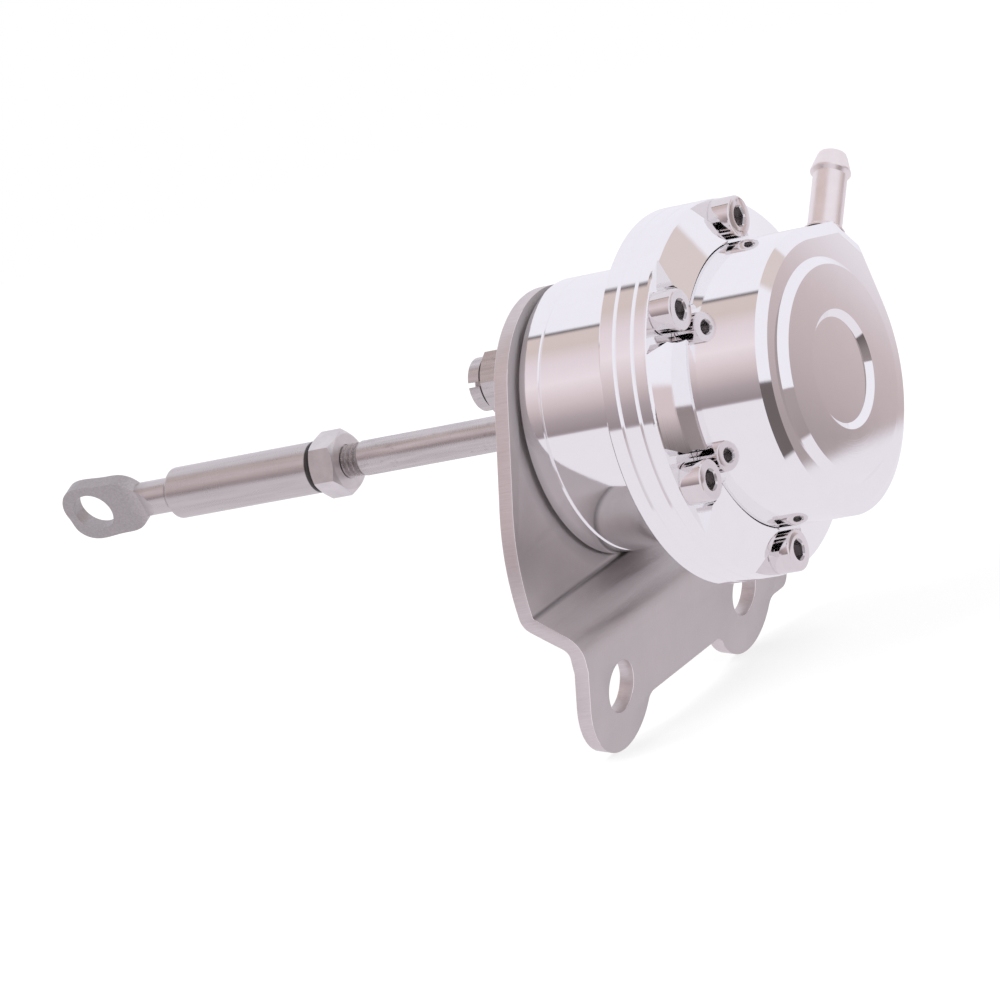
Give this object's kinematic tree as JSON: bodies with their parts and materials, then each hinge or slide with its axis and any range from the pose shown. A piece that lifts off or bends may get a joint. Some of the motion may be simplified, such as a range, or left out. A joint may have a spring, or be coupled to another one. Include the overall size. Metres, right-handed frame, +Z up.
{
  "type": "turbo wastegate actuator",
  "caption": "Polished canister actuator for a turbo wastegate, with a clamp ring, a hose nipple, an adjustable rod with a flat eye and a joggled steel bracket.",
  "frame": {"origin": "midway between the two bolt holes of the bracket's tab, on the tab's back face", "axes": "+X along the rod's axis towards the cap, +Z up from the tab to the canister, +Y to the side where the nipple leans"},
  "size_m": [0.1567, 0.0757, 0.0819],
  "materials": {
    "polished_aluminium": "mirror polished",
    "machined_aluminium": "machined",
    "brushed_stainless": "brushed",
    "bright_stainless": "satin, turned",
    "screw_steel": "polished",
    "nickel": "satin nickel plate",
    "spring_steel": "oiled",
    "bronze": "plain",
    "black_rubber": "matt",
    "diaphragm_rubber": "matt"
  },
  "bodies": {
    "housing": {"canister": "polished_aluminium", "bracket": "brushed_stainless", "bracket_studs": "bright_stainless", "stud_lock_nuts": "bright_stainless", "cover_ring": "polished_aluminium", "cap_screws": "screw_steel", "rod_bush": "bronze", "rod_seal": "black_rubber", "spring_seat": "bright_stainless", "main_spring": "spring_steel", "diaphragm": "diaphragm_rubber"},
    "cap_body": {"cap": "polished_aluminium", "hose_nipple": "nickel", "nipple_seal": "black_rubber"},
    "rod": {"push_rod": "bright_stainless", "piston": "machined_aluminium", "diaphragm_plate": "machined_aluminium", "piston_washer": "bright_stainless", "piston_nut": "bright_stainless"},
    "lock_nut": {"rod_lock_nut": "bright_stainless"},
    "eye_end": {"rod_end": "bright_stainless"}
  },
  "joints": [
    {"name": "rod_stroke", "type": "slide", "parent": "housing", "child": "rod", "axis": [-1, 0, 0], "range_m": [0, 0.01], "stiffness_N_per_m": 3100, "springref_m": -0.018, "deforming": ["main_spring", "diaphragm"]},
    {"name": "cap_swivel", "type": "hinge", "parent": "housing", "child": "cap_body", "pos_m": [0.04006, 0, 0.03936], "axis": [1, 0, 0], "continuous": true},
    {"name": "lock_nut_turn", "type": "hinge", "parent": "rod", "child": "lock_nut", "pos_m": [-0.05324, 0, 0.03936], "axis": [1, 0, 0], "continuous": true},
    {"name": "rod_end_turn", "type": "hinge", "parent": "rod", "child": "eye_end", "pos_m": [-0.07174, 0, 0.03936], "axis": [1, 0, 0], "continuous": true}
  ]
}
